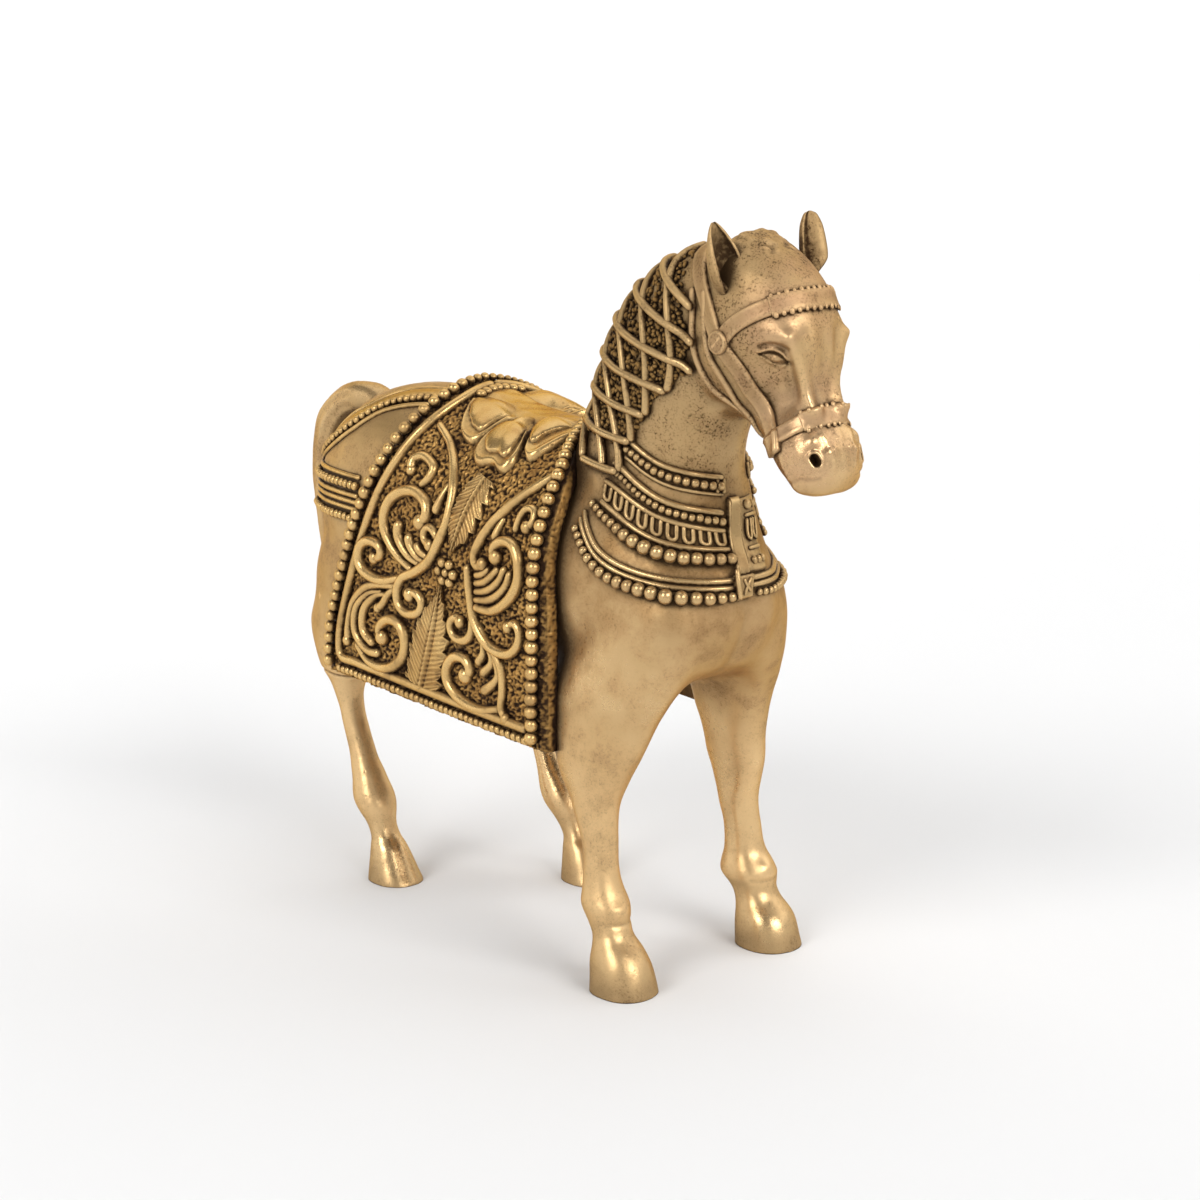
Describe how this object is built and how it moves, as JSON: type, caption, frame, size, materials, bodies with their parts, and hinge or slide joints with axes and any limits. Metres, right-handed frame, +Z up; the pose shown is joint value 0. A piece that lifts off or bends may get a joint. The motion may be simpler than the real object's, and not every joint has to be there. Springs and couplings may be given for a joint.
{
  "type": "horse figurine",
  "caption": "Standing brass horse figurine in festival trappings: scrolled saddle cloth with bead borders, petal saddle, mane net, collars and bridle.",
  "frame": {"origin": "middle of the footprint of the whole figurine, on the ground plane under the hooves", "axes": "+X forward, the way the head faces; +Y to the horse's left; +Z up"},
  "size_m": [0.1802, 0.0606, 0.1601],
  "materials": {
    "body_brass": "satin, aged",
    "cloth_brass": "granular, dark patina",
    "ornament_brass": "worn bright",
    "bridle_brass": "satin, aged"
  },
  "bodies": {
    "root": {"breast_clasp": "ornament_brass", "breast_collar_beads": "ornament_brass", "breast_collar_rail": "ornament_brass", "breeching_band": "ornament_brass", "breeching_beads_base": "ornament_brass", "breeching_beads_top": "ornament_brass", "browband": "bridle_brass", "cheek_strap_left": "bridle_brass", "cheek_strap_right": "bridle_brass", "cloth_beads_front": "ornament_brass", "cloth_beads_hem_left": "ornament_brass", "cloth_beads_hem_right": "ornament_brass", "cloth_beads_rear": "ornament_brass", "cloth_rail_left": "ornament_brass", "cloth_rail_right": "ornament_brass", "collar_middle_band": "ornament_brass", "collar_middle_beads_base": "ornament_brass", "collar_middle_beads_top": "ornament_brass", "collar_plaque": "ornament_brass", "collar_upper_band": "ornament_brass", "collar_upper_beads": "ornament_brass", "crown_strap": "bridle_brass", "crupper_beads_left": "ornament_brass", "crupper_beads_right": "ornament_brass", "crupper_strap_left": "ornament_brass", "crupper_strap_right": "ornament_brass", "ear_left": "body_brass", "ear_right": "body_brass", "flower_left": "ornament_brass", "flower_right": "ornament_brass", "head": "body_brass", "leaf_lower_left": "ornament_brass", "leaf_lower_right": "ornament_brass", "leaf_upper_left": "ornament_brass", "leaf_upper_right": "ornament_brass", "leg_fore_left": "body_brass", "leg_fore_right": "body_brass", "leg_hind_left": "body_brass", "leg_hind_right": "body_brass", "mane_net": "ornament_brass", "neck": "body_brass", "noseband": "bridle_brass", "rosette_left": "bridle_brass", "rosette_right": "bridle_brass", "saddle_cloth": "cloth_brass", "saddle_petal_front_left": "ornament_brass", "saddle_petal_front_right": "ornament_brass", "saddle_petal_mid_left": "ornament_brass", "saddle_petal_mid_right": "ornament_brass", "saddle_petal_rear_left": "ornament_brass", "saddle_petal_rear_right": "ornament_brass", "saddle_seat": "ornament_brass", "scroll_front_left": "ornament_brass", "scroll_front_right": "ornament_brass", "scroll_rear_left": "ornament_brass", "scroll_rear_right": "ornament_brass", "tail": "body_brass", "throat_lash": "bridle_brass", "torso": "body_brass"}
  },
  "joints": []
}
